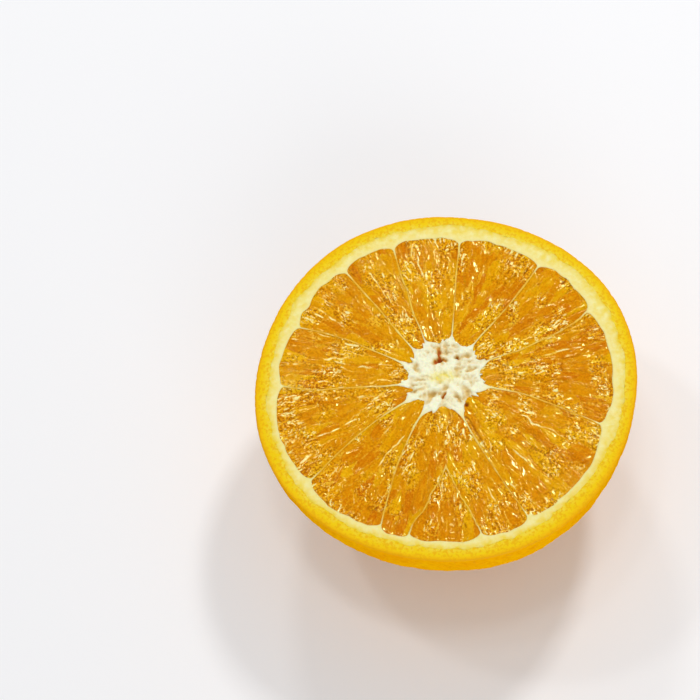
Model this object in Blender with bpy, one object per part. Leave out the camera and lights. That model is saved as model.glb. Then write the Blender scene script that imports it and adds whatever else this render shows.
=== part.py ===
"""Half of a tangor, cut across its middle, lying on its dome with the cut face up.

Metres, +Z up. The origin is the middle of the small flat spot it rests on.
"""

import math

import bmesh
import bpy
from mathutils import Vector

# Outer shape
RIM_RADIUS = 0.040
DOME_DEPTH = 0.035  # from the cut to the pole of the unflattened dome
FOOT_RADIUS = 0.006  # the flat spot at the pole
LOBE_HEIGHT = 0.010  # the rim swells in four soft lobes, as a share of its radius
LOBES = 4

# Rind
PEEL_THICKNESS = 0.0027
GAP = 0.0003  # between any two pieces that touch in life

# Flesh: it sits a little off the middle of the rind
FLESH_RADIUS = 0.0349
FLESH_CENTRE = Vector((-0.0003, -0.0006))
FLESH_DEPTH = 0.030
FLESH_END = math.radians(72)  # how far round the dome the segments reach
CUSP_DEPTH = 0.0013  # how far pith runs in between the outer corners of two segments
CORNER_POWER = 3  # how late a segment's ends turn into its corners
MEMBRANE = 0.0006
SKIRT = 0.0008  # upright edge under the raised top of the flesh

# Core: a star whose points are the membranes' inner ends
CORE_CENTRE = Vector((0.0, 0.0016))
CORE_RADIUS = 0.0074
STAR_CENTRE = Vector((0.0, 0.0007))
STAR_RADIUS = 0.0100
CORE_TAPER = 0.5  # share of its width that the core loses towards the pole

# Membranes between the segments, counter-clockwise from +X:
# degrees round the fruit at the rind, halfway in and at the core
MEMBRANES = (
    (21.0, 17.0, 20.5),
    (46.7, 46.6, 47.8),
    (78.0, 77.2, 75.4),
    (102.6, 104.0, 106.5),
    (122.1, 122.8, 123.8),
    (149.8, 146.8, 146.3),
    (174.0, 176.6, 176.6),
    (211.8, 208.0, 202.6),
    (241.5, 236.6, 231.2),
    (292.4, 290.8, 288.4),
    (335.6, 340.0, 344.3),
)

# A small extra segment grows in the outer part of one wide segment
WIDE_SEGMENT = 8
WEDGE_CORNERS = (251.1, 276.3)
WEDGE_POINT = (264.4, 0.0189)
WEDGE_TIP = 0.0012  # the tip is cut off this far along its sides
WEDGE_END = math.radians(50)

# Relief of the cut face
SAC_BASE = 0.0006  # the valleys between juice sacs lie this far under the cut
SAC_HEIGHT = 0.0009
SAC_HALF_WIDTH = 0.0015  # about, where the flesh meets the rind
SAC_PINCH = 0.3  # share of its height left where one sac meets the next
SAC_LENGTH = 4  # rows of the mesh that one sac covers
CORE_EDGE = 0.0002
CORE_HOLLOW = 0.0012
CORE_FOLD = 0.0007
CORE_FOLDS = 11
PIT_PLACE = Vector((-0.0008, 0.0051))
PIT_RADIUS = 0.0019
PIT_DEPTH = 0.0022

# Mesh density
AROUND = 60
PEEL_RINGS = 12
LINING_RINGS = 8
SIDE_STEPS = 4  # straight stretches along a membrane
END_STEPS = 4  # straight stretches along the outer and inner ends
FINE = 3  # rows of sac relief in each side stretch
FLESH_LEVELS = 6
WEDGE_LEVELS = 4
CORE_RINGS = 5
CORE_AROUND = 44

CUT_HEIGHT = DOME_DEPTH * math.sqrt(1 - (FOOT_RADIUS / RIM_RADIUS) ** 2)
CUTTER_RISE = 0.002
SHARP_ANGLE = math.radians(40)


def clear_scene():
    for old in list(bpy.data.objects):
        bpy.data.objects.remove(old, do_unlink=True)


def make_material(name, colour, roughness):
    material = bpy.data.materials.new(name)
    material.use_nodes = True
    shader = material.node_tree.nodes["Principled BSDF"]
    shader.inputs["Base Color"].default_value = (*colour, 1)
    shader.inputs["Roughness"].default_value = roughness
    shader.inputs["Metallic"].default_value = 0
    return material


def make_object(name, mesh_data, material=None):
    """An object from a bmesh, with its faces turned out and split into triangles."""
    bmesh.ops.recalc_face_normals(mesh_data, faces=mesh_data.faces)
    bmesh.ops.triangulate(mesh_data, faces=mesh_data.faces)
    mesh = bpy.data.meshes.new(name)
    mesh_data.to_mesh(mesh)
    mesh_data.free()
    mesh.shade_smooth()
    mesh.set_sharp_from_angle(angle=SHARP_ANGLE)
    piece = bpy.data.objects.new(name, mesh)
    if material:
        mesh.materials.append(material)
    bpy.context.scene.collection.objects.link(piece)
    return piece


def polar(degrees, radius):
    angle = math.radians(degrees)
    return Vector((radius * math.cos(angle), radius * math.sin(angle)))


def reach(degrees, centre, radius):
    """Distance from the fruit's axis to a circle whose centre lies off it."""
    direction = polar(degrees, 1)
    along = centre.dot(direction)
    return along + math.sqrt(radius**2 - centre.length_squared + along**2)


def lobed(degrees):
    return 1 + LOBE_HEIGHT * math.sin(LOBES * math.radians(degrees))


def add_ring(mesh_data, radius, height):
    """Points round the fruit at one height, following the lobes."""
    ring = []
    for step in range(AROUND):
        degrees = 360 * step / AROUND
        flat = polar(degrees, radius * lobed(degrees))
        ring.append(mesh_data.verts.new((flat.x, flat.y, height)))
    return ring


def join_rings(mesh_data, first, second):
    count = len(first)
    for step in range(count):
        after = (step + 1) % count
        mesh_data.faces.new((first[step], first[after], second[after], second[step]))


def add_dome(mesh_data, radius, depth, rings, foot_radius=0.0):
    """Rings from the cut down an oval dome to its pole or to a flat foot."""
    last_turn = math.acos(foot_radius / radius)
    made = []
    for ring in range(rings + 1):
        turn = last_turn * ring / rings
        if ring == rings and not foot_radius:
            break
        height = CUT_HEIGHT - depth * math.sin(turn)
        made.append(add_ring(mesh_data, radius * math.cos(turn), height))
    for first, second in zip(made, made[1:]):
        join_rings(mesh_data, first, second)
    if foot_radius:
        mesh_data.faces.new(made[-1])
    else:
        pole = mesh_data.verts.new((0, 0, CUT_HEIGHT - depth))
        for step in range(AROUND):
            after = (step + 1) % AROUND
            mesh_data.faces.new((made[-1][step], made[-1][after], pole))
    return made[0]


def make_peel(material):
    """The coloured skin: a cup whose inner wall follows its outer one."""
    mesh_data = bmesh.new()
    outer_edge = add_dome(mesh_data, RIM_RADIUS, DOME_DEPTH, PEEL_RINGS, FOOT_RADIUS)
    inner_edge = add_dome(
        mesh_data,
        RIM_RADIUS - PEEL_THICKNESS,
        DOME_DEPTH - PEEL_THICKNESS,
        LINING_RINGS,
    )
    join_rings(mesh_data, outer_edge, inner_edge)
    return make_object("peel", mesh_data, material)


def membrane_angle(membrane, share):
    """Degrees of a membrane's mid line, by share of the way from the core to the rind."""
    at_rind, halfway, at_core = MEMBRANES[membrane]
    bend = 2 * (at_core + at_rind) - 4 * halfway
    return at_core + (at_rind - at_core - bend) * share + bend * share**2


def side_line(membrane, turn, grow, shift):
    """A segment's side, from core to rind, set off from the membrane's mid line."""
    points = []
    for step in range(SIDE_STEPS + 1):
        share = step / SIDE_STEPS
        degrees = membrane_angle(membrane, share)
        inner = reach(degrees, STAR_CENTRE, STAR_RADIUS)
        inner = inner * (1 - CORE_TAPER * math.sin(turn)) - grow
        outer = reach(degrees, FLESH_CENTRE, FLESH_RADIUS) - CUSP_DEPTH
        outer = outer * lobed(degrees) * math.cos(turn) + grow
        place = polar(degrees, inner + (outer - inner) * share)
        points.append(place + polar(degrees + 90, shift))
    return points


def end_line(first, last, centre, radius, dip, turn_scale, grow):
    """A segment's bulging end between two points, its corners pulled back by dip."""
    start = math.degrees(math.atan2(first.y, first.x)) % 360
    spread = (math.degrees(math.atan2(last.y, last.x)) - start) % 360
    points = [first]
    for step in range(1, END_STEPS):
        share = step / END_STEPS
        degrees = start + spread * share
        distance = reach(degrees, centre, radius) + dip * abs(2 * share - 1) ** CORNER_POWER
        points.append(polar(degrees, distance * turn_scale(degrees) + grow))
    points.append(last)
    return points


def ray_to_circle(start, direction, radius):
    """The point where a ray from inside a circle about the axis meets it."""
    along = start.dot(direction)
    distance = -along + math.sqrt(along**2 - start.length_squared + radius**2)
    return start + direction * distance


def wedge_sides(turn, shift):
    """The small segment's point, moved out by shift, and the run of its two sides."""
    scale = math.cos(turn)
    tip = polar(*WEDGE_POINT) * scale
    directions = []
    for degrees in WEDGE_CORNERS:
        radius = reach(degrees, FLESH_CENTRE, FLESH_RADIUS) * scale
        directions.append((polar(degrees, radius) - tip).normalized())
    middle = (directions[0] + directions[1]).normalized()
    half_angle = directions[0].angle(directions[1]) / 2
    tip = tip - middle * shift / math.sin(half_angle)
    return tip, directions[0], directions[1]


def flesh_radius_at(turn, grow):
    return (FLESH_RADIUS - CUSP_DEPTH / 2) * math.cos(turn) + grow


def main_outline(segment, turn, grow):
    """Inner end, outer end and both sides of a segment at one level."""
    clear = MEMBRANE / 2 + GAP - grow
    after = (segment + 1) % len(MEMBRANES)
    start_side = side_line(segment, turn, grow, clear)
    end_side = side_line(after, turn, grow, -clear)
    inner = end_line(
        start_side[0],
        end_side[0],
        CORE_CENTRE,
        CORE_RADIUS,
        STAR_RADIUS - CORE_RADIUS,
        lambda degrees: 1 - CORE_TAPER * math.sin(turn),
        -grow,
    )
    outer = end_line(
        start_side[-1],
        end_side[-1],
        FLESH_CENTRE,
        FLESH_RADIUS,
        -CUSP_DEPTH,
        lambda degrees: lobed(degrees) * math.cos(turn),
        grow,
    )
    if segment == WIDE_SEGMENT:
        outer = notched_end(start_side[-1], end_side[-1], turn, grow)
    return inner, outer, start_side, end_side


def notched_end(first, last, turn, grow):
    """The wide segment's outer end, with the notch that holds the small segment."""
    radius = flesh_radius_at(turn, grow)
    tip, down_start, down_end = wedge_sides(turn, MEMBRANE / 2 + GAP - grow)
    start_corner = ray_to_circle(tip, down_start, radius)
    end_corner = ray_to_circle(tip, down_end, radius)
    bulge = CUSP_DEPTH / 2 * math.cos(turn)
    start_bulge = (first + start_corner) / 2
    end_bulge = (last + end_corner) / 2
    return [
        first,
        start_bulge + start_bulge.normalized() * bulge,
        start_corner,
        (start_corner + tip) / 2,
        tip,
        (end_corner + tip) / 2,
        end_corner,
        end_bulge + end_bulge.normalized() * bulge,
        last,
    ]


def wedge_outline(turn, grow):
    """The small segment's outline at one level, in the form of main_outline."""
    tip, down_start, down_end = wedge_sides(turn, grow - MEMBRANE / 2 - GAP)
    radius = flesh_radius_at(turn, grow)
    sides = []
    for direction in (down_start, down_end):
        inner = tip + direction * WEDGE_TIP
        outer = ray_to_circle(tip, direction, radius)
        sides.append([inner.lerp(outer, step / SIDE_STEPS) for step in range(SIDE_STEPS + 1)])
    inner_end = [sides[0][0], (sides[0][0] + sides[1][0]) / 2, sides[1][0]]
    middle = (sides[0][-1] + sides[1][-1]) / 2
    bulge = middle.normalized() * (radius + CUSP_DEPTH / 2 * math.cos(turn))
    return inner_end, [sides[0][-1], bulge, sides[1][-1]], sides[0], sides[1]


def outline_at(segment, turn, grow):
    if segment == len(MEMBRANES):
        return wedge_outline(turn, grow)
    return main_outline(segment, turn, grow)


def around_outline(lines):
    """One closed run of points: inner end, end side, outer end back, start side back."""
    inner, outer, start_side, end_side = lines
    return inner[:-1] + end_side[:-1] + outer[:0:-1] + start_side[:0:-1]


def along(points, share):
    """The point at a share of a polyline whose stretches count alike."""
    place = share * (len(points) - 1)
    step = min(int(place), len(points) - 2)
    return points[step].lerp(points[step + 1], place - step)


def patch_point(lines, across, outwards):
    """A point inside the outline, blended from its four edges."""
    inner, outer, start_side, end_side = lines
    sides = along(start_side, outwards) * (1 - across) + along(end_side, outwards) * across
    ends = along(inner, across) * (1 - outwards) + along(outer, across) * outwards
    corners = (inner[0] * (1 - across) + inner[-1] * across) * (1 - outwards)
    corners = corners + (outer[0] * (1 - across) + outer[-1] * across) * outwards
    return sides + ends - corners


def sac_height(column, row, columns, rows):
    """Juice sacs: a ridge on each odd column, pinched where one sac meets the next."""
    if row in (0, rows) or column in (0, columns) or column % 2 == 0:
        return 0
    pinched = (row + column) % SAC_LENGTH == 0
    return SAC_HEIGHT * (SAC_PINCH if pinched else 1)


def level_turns(segment):
    if segment == len(MEMBRANES):
        return [WEDGE_END * level / WEDGE_LEVELS for level in range(WEDGE_LEVELS + 1)]
    return [FLESH_END * level / FLESH_LEVELS for level in range(FLESH_LEVELS + 1)]


def add_loop(mesh_data, points, height):
    return [mesh_data.verts.new((point.x, point.y, height)) for point in points]


def add_flesh_top(mesh_data, lines):
    """The cut face of a segment in sac relief. Returns its edge, grouped by stretch."""
    inner, outer, start_side, end_side = lines
    width = (outer[0] - outer[-1]).length
    most_stretches = max(len(inner), len(outer)) - 1
    columns = most_stretches * round(width / (most_stretches * SAC_HALF_WIDTH))
    rows = FINE * (len(start_side) - 1)
    base = CUT_HEIGHT - SAC_BASE
    grid = []
    for row in range(rows + 1):
        line = []
        for column in range(columns + 1):
            flat = patch_point(lines, column / columns, row / rows)
            height = base + sac_height(column, row, columns, rows)
            line.append(mesh_data.verts.new((flat.x, flat.y, height)))
        grid.append(line)
    for row in range(rows):
        for column in range(columns):
            mesh_data.faces.new(
                (
                    grid[row][column],
                    grid[row][column + 1],
                    grid[row + 1][column + 1],
                    grid[row + 1][column],
                )
            )
    edges = (
        (grid[0], len(inner) - 1),
        ([line[-1] for line in grid], len(end_side) - 1),
        (grid[-1][::-1], len(outer) - 1),
        ([line[0] for line in grid][::-1], len(start_side) - 1),
    )
    stretches = []
    for points, count in edges:
        size = (len(points) - 1) // count
        for stretch in range(count):
            stretches.append(points[stretch * size : (stretch + 1) * size + 1])
    return stretches


def make_flesh(segment, material):
    """One segment's flesh, filling its pocket in the pith."""
    mesh_data = bmesh.new()
    turns = level_turns(segment)
    lines = outline_at(segment, 0, 0)
    stretches = add_flesh_top(mesh_data, lines)
    skirt_height = CUT_HEIGHT - SAC_BASE - SKIRT
    loops = [add_loop(mesh_data, around_outline(lines), skirt_height)]
    count = len(loops[0])
    for step, fine in enumerate(stretches):
        mesh_data.faces.new((loops[0][step], loops[0][(step + 1) % count], *fine[::-1]))
    for turn in turns[1:]:
        points = around_outline(outline_at(segment, turn, 0))
        height = CUT_HEIGHT - FLESH_DEPTH * math.sin(turn)
        loops.append(add_loop(mesh_data, points, height))
        join_rings(mesh_data, loops[-2], loops[-1])
    mesh_data.faces.new(loops[-1])
    return make_object(f"pulp_{segment + 1:02d}", mesh_data, material)


def make_pocket(segment):
    """The hollow in the pith that one segment fills, taller than the cut."""
    mesh_data = bmesh.new()
    top = around_outline(outline_at(segment, 0, GAP))
    loops = [add_loop(mesh_data, top, CUT_HEIGHT + CUTTER_RISE)]
    mesh_data.faces.new(loops[0])
    turns = level_turns(segment)
    heights = [CUT_HEIGHT - FLESH_DEPTH * math.sin(turn) for turn in turns]
    heights[0] = CUT_HEIGHT - SAC_BASE - SKIRT
    for turn, height in zip(turns, heights):
        points = around_outline(outline_at(segment, turn, GAP))
        loops.append(add_loop(mesh_data, points, height))
        join_rings(mesh_data, loops[-2], loops[-1])
    floor = add_loop(mesh_data, points, heights[-1] - GAP)
    join_rings(mesh_data, loops[-1], floor)
    mesh_data.faces.new(floor)
    return make_object(f"pocket_{segment + 1:02d}", mesh_data)


def core_depth(place):
    """How deep the core's spongy top lies under the cut at a place on it."""
    off_centre = place - CORE_CENTRE
    edge = CORE_RADIUS - 2 * GAP - MEMBRANE
    share = min(off_centre.length / edge, 1)
    fold = math.cos(CORE_FOLDS * math.atan2(off_centre.y, off_centre.x))
    depth = CORE_EDGE + CORE_HOLLOW * (1 - share) ** 2
    depth += CORE_FOLD * (1 - fold) / 2 * 4 * share * (1 - share)
    to_pit = (place - PIT_PLACE).length / PIT_RADIUS
    return depth + PIT_DEPTH * max(0, 1 - to_pit**2)


def make_core_cutter():
    """What is torn and sunk out of the core's top: folds, a middle hollow and a pit."""
    mesh_data = bmesh.new()
    edge = CORE_RADIUS - 2 * GAP - MEMBRANE
    middle_height = CUT_HEIGHT - core_depth(CORE_CENTRE)
    middle = mesh_data.verts.new((*CORE_CENTRE, middle_height))
    loops = []
    for ring in range(1, CORE_RINGS + 1):
        loop = []
        for step in range(CORE_AROUND):
            place = CORE_CENTRE + polar(360 * step / CORE_AROUND, edge * ring / CORE_RINGS)
            loop.append(mesh_data.verts.new((*place, CUT_HEIGHT - core_depth(place))))
        loops.append(loop)
    for step in range(CORE_AROUND):
        after = (step + 1) % CORE_AROUND
        mesh_data.faces.new((middle, loops[0][step], loops[0][after]))
    for first, second in zip(loops, loops[1:]):
        join_rings(mesh_data, first, second)
    rim = [vertex.co.xy for vertex in loops[-1]]
    lid = add_loop(mesh_data, rim, CUT_HEIGHT + CUTTER_RISE)
    join_rings(mesh_data, loops[-1], lid)
    mesh_data.faces.new(lid)
    return make_object("core_hollow", mesh_data)


def make_pith(material):
    """The white lining, membranes and core: one body with a pocket for each segment."""
    mesh_data = bmesh.new()
    radius = RIM_RADIUS - PEEL_THICKNESS - GAP
    depth = DOME_DEPTH - PEEL_THICKNESS - GAP
    edge = add_dome(mesh_data, radius, depth, LINING_RINGS)
    mesh_data.faces.new(edge)
    pith = make_object("pith", mesh_data, material)

    cutters = bpy.data.collections.new("pith_cutters")
    bpy.context.scene.collection.children.link(cutters)
    pockets = [make_pocket(segment) for segment in range(len(MEMBRANES) + 1)]
    for cutter in [*pockets, make_core_cutter()]:
        bpy.context.scene.collection.objects.unlink(cutter)
        cutters.objects.link(cutter)
        cutter.hide_render = True
        cutter.display_type = "WIRE"
    cutters.hide_render = True

    cut = pith.modifiers.new("pockets", "BOOLEAN")
    cut.operation = "DIFFERENCE"
    cut.operand_type = "COLLECTION"
    cut.collection = cutters
    cut.solver = "EXACT"
    return pith


def main():
    clear_scene()
    make_peel(make_material("peel_skin", (0.86, 0.36, 0.015), 0.38))
    make_pith(make_material("pith_cream", (0.90, 0.83, 0.52), 0.70))
    flesh = make_material("pulp_amber", (0.80, 0.27, 0.006), 0.22)
    for segment in range(len(MEMBRANES) + 1):
        make_flesh(segment, flesh)


main()
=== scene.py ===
# Half a tangor lying on its dome, cut face up, seen from above.
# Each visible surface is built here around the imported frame, in metres, +Z up.

import itertools
import math

import bpy
import numpy as np
from mathutils import Matrix, Vector
from mathutils.geometry import delaunay_2d_cdt
from mathutils.kdtree import KDTree


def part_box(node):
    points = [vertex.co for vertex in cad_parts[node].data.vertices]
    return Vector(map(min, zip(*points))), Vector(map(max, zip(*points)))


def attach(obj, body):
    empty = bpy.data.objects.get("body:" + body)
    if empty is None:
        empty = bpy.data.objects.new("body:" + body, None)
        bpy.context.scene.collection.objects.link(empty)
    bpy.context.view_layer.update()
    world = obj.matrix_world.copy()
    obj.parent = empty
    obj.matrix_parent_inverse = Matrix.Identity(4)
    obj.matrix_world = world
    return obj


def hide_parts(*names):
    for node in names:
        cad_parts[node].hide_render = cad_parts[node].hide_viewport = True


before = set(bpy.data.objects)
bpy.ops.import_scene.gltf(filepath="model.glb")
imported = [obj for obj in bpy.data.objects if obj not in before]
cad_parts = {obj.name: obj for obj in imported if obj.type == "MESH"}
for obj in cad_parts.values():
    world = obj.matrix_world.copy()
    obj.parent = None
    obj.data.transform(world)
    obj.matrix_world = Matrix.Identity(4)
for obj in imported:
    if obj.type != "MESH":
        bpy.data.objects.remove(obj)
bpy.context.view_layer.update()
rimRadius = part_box("peel")[1].x
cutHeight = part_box("peel")[1].z
mm = 0.001
print("frame loaded: rim radius", round(rimRadius / mm, 2), "mm, cut at", round(cutHeight / mm, 2), "mm")

# The fruit's layout, shared by every piece
layout = {
    "domeDepth": 35 * mm,  # from the cut to the pole of the unflattened dome
    "lobeHeight": 0.010,  # the rim swells in four soft lobes
    "lobes": 4,
    "bandWidth": 2.7 * mm,  # the coloured skin where it is cut
    "bandWobble": 0.85 * mm,
    "fleshRadius": 35.25 * mm,
    "fleshCentre": np.array((-0.3, -0.6)) * mm,
    "fleshDepth": 30 * mm,
    "fleshEnd": math.radians(72),
    "skirt": 1.6 * mm,  # upright part of each pocket's wall
    "cuspDepth": 1.7 * mm,
    "cuspPower": 3.6,
    "coreCentre": np.array((0.0, 1.6)) * mm,
    "coreRadius": 7.4 * mm,
    "starCentre": np.array((0.0, 0.7)) * mm,
    "starRadius": 10.6 * mm,
    "starPower": 2,
    "coreTaper": 0.5,
    "membrane": 0.26 * mm,
    "membraneWobble": 0.35 * mm,
    "coreRagged": (0.45 * mm, 1.9 * mm),  # waves, then spikes that reach into the flesh
    "rindRagged": (0.42 * mm, -0.45 * mm),
}

# Membranes counter-clockwise from +X: degrees at the rind, halfway in and at the core
membranes = (
    (21.0, 17.0, 20.5), (46.7, 46.6, 47.8), (78.0, 77.2, 75.4),
    (102.6, 104.0, 106.5), (122.1, 122.8, 123.8), (149.8, 146.8, 146.3),
    (174.0, 176.6, 176.6), (211.8, 208.0, 202.6), (241.5, 236.6, 231.2),
    (292.4, 290.8, 288.4), (335.6, 340.0, 344.3),
)
wideSegment = 8  # holds the small extra segment in its outer part
wedge = {
    "corners": (251.1, 276.3),
    "point": (264.4, 18.9 * mm),
    "tip": 0.6 * mm,
    "end": math.radians(50),
    "bend": (0.50 * mm, 0.12 * mm),  # slow waves of its sides, then quick ones
}
segmentCount = len(membranes) + 1


def polar(degrees, radius):
    angle = np.radians(degrees)
    return np.stack((radius * np.cos(angle), radius * np.sin(angle)), axis=-1)


def circleReach(degrees, centre, radius):
    # distance from the fruit's axis to a circle whose centre lies off it
    along = polar(degrees, 1.0) @ centre
    return along + np.sqrt(radius**2 - centre @ centre + along**2)


def lobed(degrees):
    return 1 + layout["lobeHeight"] * np.sin(layout["lobes"] * np.radians(degrees))


def unit(values):
    return np.clip(values, 0, 1)


def bell(values):
    return np.exp(-(values**2))


def degreesOf(points):
    return np.degrees(np.arctan2(points[:, 1], points[:, 0]))


def squareTo(way):
    return np.array((-way[1], way[0]))


def fromCut(points, heights):
    return [(x, y, cutHeight + z) for (x, y), z in zip(points, heights)]


def softNoise(points, size, seed):
    # smooth value noise from -1 to 1, for points of any number of coordinates
    place = np.asarray(points) / size
    cell = np.floor(place).astype(np.int64)
    share = place - cell
    share = share * share * (3 - 2 * share)
    total = np.zeros(len(place))
    for corner in itertools.product((0, 1), repeat=place.shape[1]):
        mixed = np.full(len(place), seed * 1013904223 + 12345, np.int64)
        weight = np.ones(len(place))
        for axis, step in enumerate(corner):
            mixed = (mixed ^ (cell[:, axis] + step)) * 1540483477
            mixed = mixed ^ (mixed >> 15)
            weight = weight * (share[:, axis] if step else 1 - share[:, axis])
        mixed = (mixed * 668265263) ^ (mixed >> 13)
        total += weight * ((mixed & 65535) / 32767.5 - 1)
    return total


def layeredNoise(points, size, seed, layers=3):
    total = np.zeros(len(points))
    for layer in range(layers):
        total += softNoise(points, size / 2**layer, seed + layer) / 2**layer
    return total / 1.6


def roundNoise(degrees, count, seed):
    # noise that closes on itself round the fruit, about count waves
    return softNoise(polar(degrees, count / (2 * math.pi)), 1.0, seed)


# Outlines of the pockets between the membranes


def membraneLine(index, share):
    # degrees of the mid line, tangential wobble and half thickness, by share from core to rind
    atRind, halfway, atCore = membranes[index]
    bend = 2 * (atCore + atRind) - 4 * halfway
    degrees = atCore + (atRind - atCore - bend) * share + bend * share**2
    line = np.stack((share * 4.0, np.full_like(share, index * 7.3)), axis=-1)
    wobble = softNoise(line, 1.0, 41) * layout["membraneWobble"] * np.sin(np.pi * share)
    half = layout["membrane"] / 2 * (1 + 0.45 * softNoise(line, 0.4, 43))
    return degrees, wobble, half


def sideLine(index, turn, grow, way, steps):
    share = np.linspace(0, 1, steps + 1)
    degrees, wobble, half = membraneLine(index, share)
    inner = circleReach(degrees, layout["starCentre"], layout["starRadius"])
    inner = inner * (1 - layout["coreTaper"] * math.sin(turn)) - grow
    outer = circleReach(degrees, layout["fleshCentre"], layout["fleshRadius"]) - layout["cuspDepth"]
    outer = outer * lobed(degrees) * math.cos(turn) + grow
    shift = wobble + way * (half - grow)
    place = polar(degrees, inner + (outer - inner) * share)
    return place + polar(degrees + 90, 1.0) * shift[:, None]


def angleOf(point):
    return math.degrees(math.atan2(point[1], point[0])) % 360


def endLine(first, last, centre, radius, power, ragged, turnScale, grow, steps, seed):
    # an arc that turns in to its two corners, as a superellipse does
    start = angleOf(first)
    spread = (angleOf(last) - start) % 360
    across = np.sin(np.linspace(-math.pi / 2, math.pi / 2, steps + 1))
    degrees = start + spread * (0.5 + 0.5 * across)
    wobble = ragged[0] * (0.6 * roundNoise(degrees, 50, seed) + 0.5 * roundNoise(degrees, 130, seed + 1))
    wobble = wobble + ragged[1] * unit(roundNoise(degrees, 90, seed + 2) - 0.25)
    wobble = wobble * (1 - across**4)
    corner = 1 - np.sqrt(1 - np.abs(across) ** power)
    distance = (circleReach(degrees, centre, radius) + wobble) * turnScale(degrees) + grow
    startDip = np.linalg.norm(first) - distance[0]
    endDip = np.linalg.norm(last) - distance[-1]
    distance = distance + corner * (startDip + (endDip - startDip) * (0.5 + 0.5 * across))
    points = polar(degrees, distance)
    points[0] = first
    points[-1] = last
    return points


def rayToCircle(start, direction, radius):
    along = start @ direction
    return start + direction * (-along + math.sqrt(along**2 - start @ start + radius**2))


def wedgeSides(turn, shift):
    tip = polar(*wedge["point"]) * math.cos(turn)
    directions = []
    for degrees in wedge["corners"]:
        radius = circleReach(degrees, layout["fleshCentre"], layout["fleshRadius"])
        way = polar(degrees, radius * math.cos(turn)) - tip
        directions.append(way / np.linalg.norm(way))
    middle = directions[0] + directions[1]
    middle = middle / np.linalg.norm(middle)
    halfAngle = math.acos(directions[0] @ directions[1]) / 2
    return tip - middle * shift / math.sin(halfAngle), directions[0], directions[1]


def wedgeRun(first, last, steps, side, turn=0.0):
    # from one end of a wedge side to the other, waved alike on both faces of the membrane
    tip, *directions = wedgeSides(turn, 0.0)
    direction = directions[side]
    place = first + (last - first) * np.linspace(0, 1, steps + 1)[:, None]
    along = (place - tip) @ direction
    length = np.linalg.norm(rayToCircle(tip, direction, layout["fleshRadius"] * math.cos(turn)) - tip)
    fade = unit(along / (2 * mm)) * unit((length - along) / (3 * mm))
    line = np.stack((along, np.full_like(along, side * 9 * mm)), axis=-1)
    bend = wedge["bend"][0] * softNoise(line, 3.4 * mm, 5) + wedge["bend"][1] * softNoise(line, 0.8 * mm, 6)
    return place + squareTo(direction) * (bend * fade)[:, None]


outerSettings = (layout["fleshCentre"], layout["fleshRadius"], layout["cuspPower"], layout["rindRagged"])
innerSettings = (layout["coreCentre"], layout["coreRadius"], layout["starPower"], layout["coreRagged"])


def pocketRing(segment, turn=0.0, grow=0.0):
    # one closed run of points, counter-clockwise: out along the start side, round, back in
    def outerScale(degrees):
        return lobed(degrees) * math.cos(turn)

    def innerScale(degrees):
        return 1 - layout["coreTaper"] * math.sin(turn)

    half = layout["membrane"] / 2
    cusped = (layout["fleshRadius"] - layout["cuspDepth"] / 2) * math.cos(turn) + grow
    if segment == len(membranes):
        tip, toStart, toEnd = wedgeSides(turn, grow - half)
        startSide = wedgeRun(tip + toStart * wedge["tip"], rayToCircle(tip, toStart, cusped), 72, 0, turn)
        endSide = wedgeRun(tip + toEnd * wedge["tip"], rayToCircle(tip, toEnd, cusped), 72, 1, turn)
        inner = startSide[0] + (endSide[0] - startSide[0]) * np.linspace(0, 1, 7)[:, None]
        outer = endLine(startSide[-1], endSide[-1], *outerSettings, outerScale, grow, 72, 61)
    else:
        after = (segment + 1) % len(membranes)
        startSide = sideLine(segment, turn, grow, 1, 120)
        endSide = sideLine(after, turn, grow, -1, 120)
        inner = endLine(startSide[0], endSide[0], *innerSettings, innerScale, -grow, 60, 51)
        if segment == wideSegment:
            tip, toStart, toEnd = wedgeSides(turn, half - grow)
            startCorner = rayToCircle(tip, toStart, cusped)
            endCorner = rayToCircle(tip, toEnd, cusped)
            outer = np.concatenate(
                (
                    endLine(startSide[-1], startCorner, *outerSettings, outerScale, grow, 36, 61)[:-1],
                    wedgeRun(startCorner, tip, 72, 0, turn)[:-1],
                    wedgeRun(tip, endCorner, 72, 1, turn)[:-1],
                    endLine(endCorner, endSide[-1], *outerSettings, outerScale, grow, 48, 61),
                )
            )
        else:
            outer = endLine(startSide[-1], endSide[-1], *outerSettings, outerScale, grow, 96, 61)
    return np.concatenate((startSide[:-1], outer[:-1], endSide[:0:-1], inner[:0:-1]))


def pocketLevels(segment, ring, grow):
    # outlines and heights down a pocket, below its top ring
    levels = [(ring, cutHeight - layout["skirt"])]
    isWedge = segment == len(membranes)
    turns = np.linspace(0, wedge["end"], 5) if isWedge else np.linspace(0, layout["fleshEnd"], 7)
    for turn in turns[1:]:
        levels.append((pocketRing(segment, turn, grow), cutHeight - layout["fleshDepth"] * math.sin(turn)))
    return levels


# Mesh making


def makePiece(name, points, faces, material, attributes=None):
    mesh = bpy.data.meshes.new(name)
    mesh.from_pydata([tuple(p) for p in points], [], faces)
    mesh.validate()
    mesh.update()
    mesh.shade_smooth()
    mesh.set_sharp_from_angle(angle=math.radians(70))
    for key, values in (attributes or {}).items():
        layer = mesh.attributes.new(key, "FLOAT", "POINT")
        layer.data.foreach_set("value", np.asarray(values, np.float32))
    mesh.materials.append(material)
    piece = bpy.data.objects.new(name, mesh)
    bpy.context.scene.collection.objects.link(piece)
    return piece


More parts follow.
